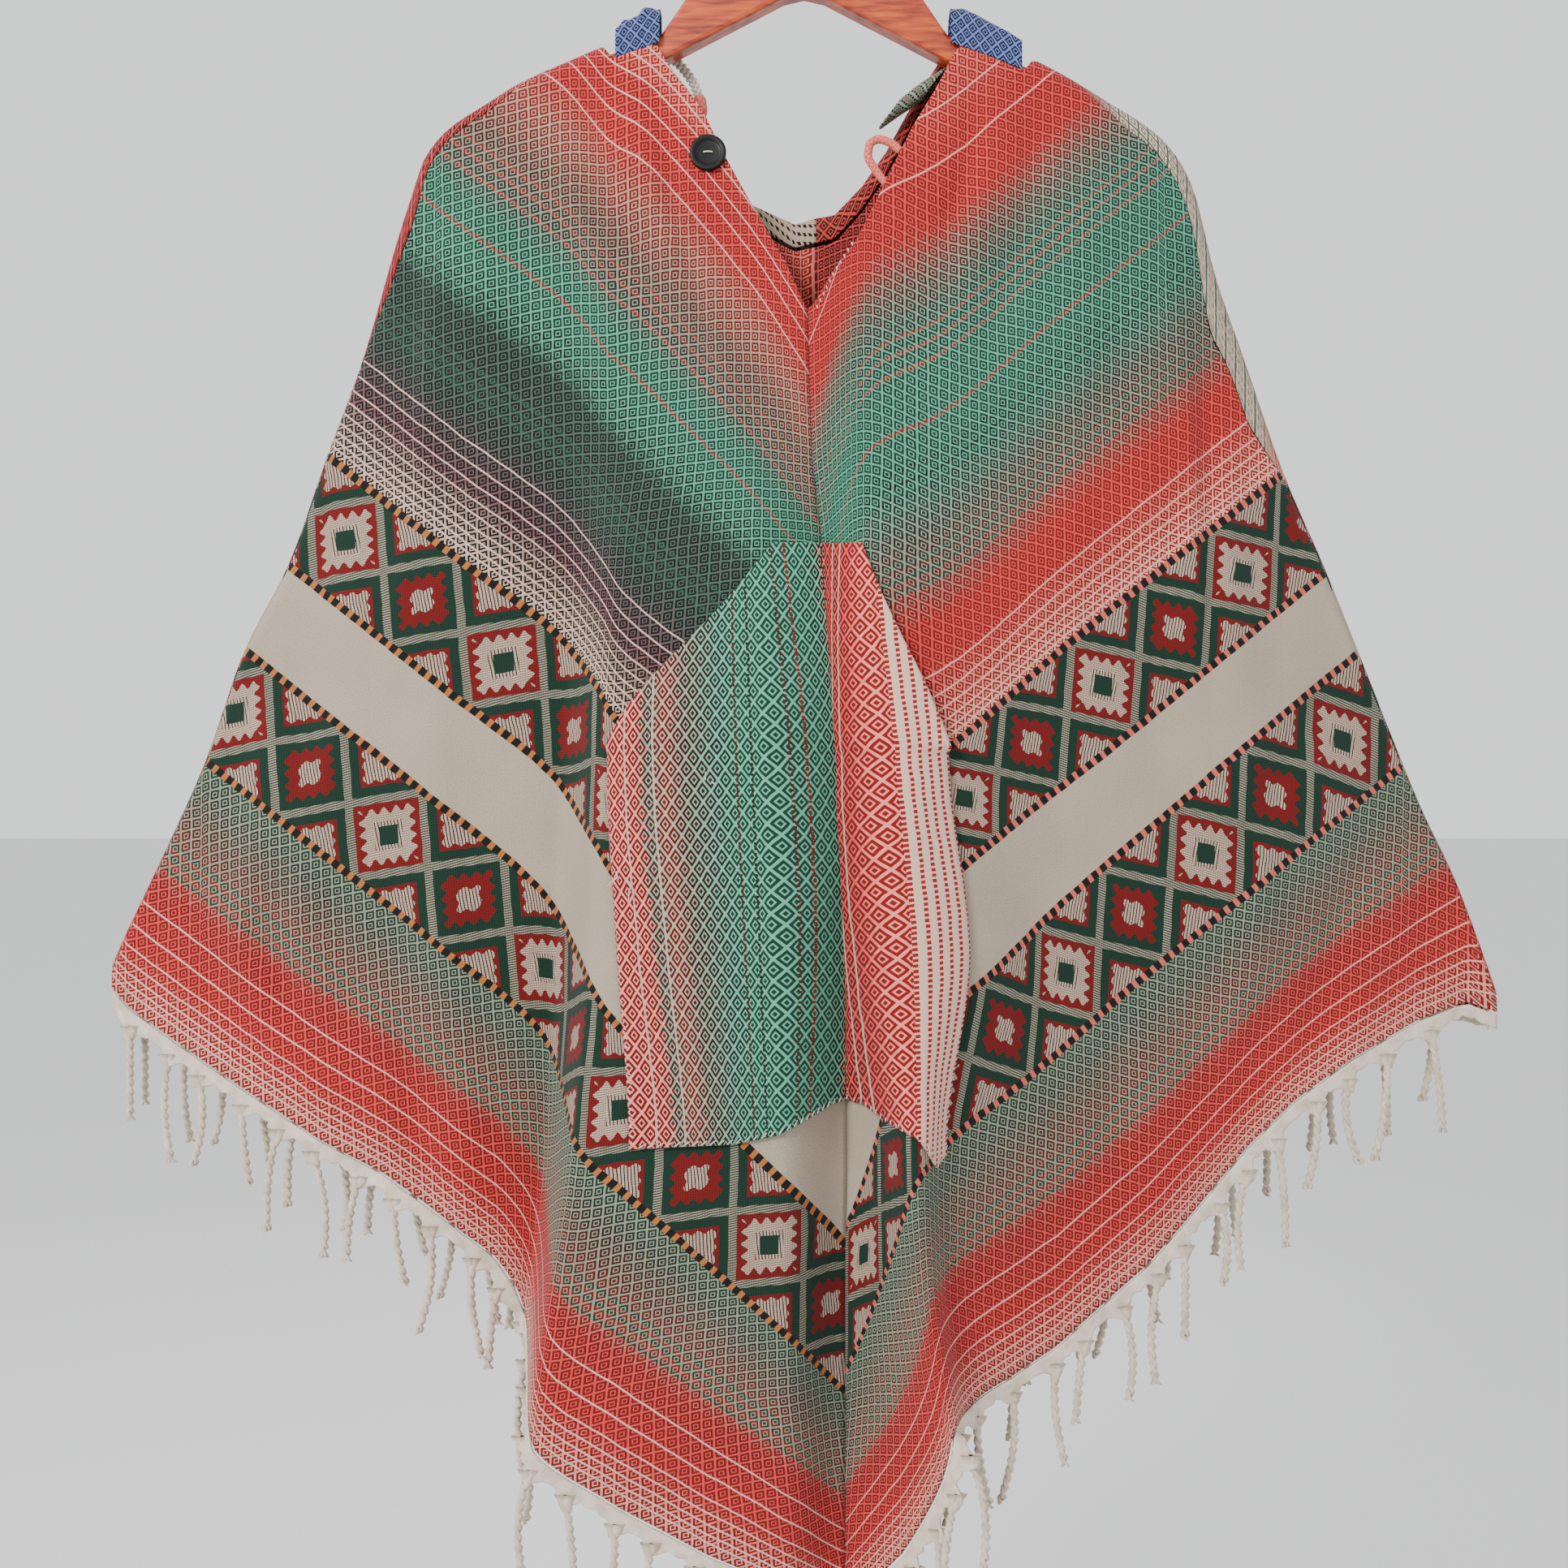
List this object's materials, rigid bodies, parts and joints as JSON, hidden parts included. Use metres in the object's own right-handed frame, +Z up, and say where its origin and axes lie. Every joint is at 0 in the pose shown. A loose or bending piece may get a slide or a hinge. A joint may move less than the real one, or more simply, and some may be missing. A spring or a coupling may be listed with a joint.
{
  "type": "hooded poncho",
  "caption": "Handwoven cotton hooded poncho with a front pocket, a neck button and a tasselled hem, on a wooden hanger.",
  "frame": {"origin": "inside top of the hanger's hook, where it rests on a rail", "axes": "+Z up, +X to the right as seen from the front, the garment's front faces -Y"},
  "size_m": [0.8836, 0.1595, 1.1576],
  "materials": {
    "woven_cotton": "handwoven cotton in rows of red, teal, pink, cream and black",
    "pocket_cotton": "handwoven cotton with stripes and small diamonds",
    "blue_cotton": "blue cotton with small white and purple diamonds",
    "cream_cotton": "undyed cotton yarn, twisted or plaited",
    "red_cotton": "pink and red patterned cotton",
    "black_button": "black, satin",
    "hanger_wood": "honey-coloured, satin varnish",
    "hook_metal": "polished wire"
  },
  "bodies": {
    "root": {"front_left": "woven_cotton", "front_right": "woven_cotton", "back_left": "woven_cotton", "back_right": "woven_cotton", "pocket": "pocket_cotton", "hood_left": "woven_cotton", "hood_right": "woven_cotton", "hood_end_left": "blue_cotton", "hood_end_right": "blue_cotton", "hood_casing": "pocket_cotton", "button_loop": "red_cotton", "drawcord": "cream_cotton", "drawcord_tip": "red_cotton", "button": "black_button", "button_thread": "cream_cotton", "fringe_front_left": "cream_cotton", "fringe_front_right": "cream_cotton", "fringe_back_left": "cream_cotton", "fringe_back_right": "cream_cotton", "hanger_bar": "hanger_wood", "hanger_hook": "hook_metal"}
  },
  "joints": []
}
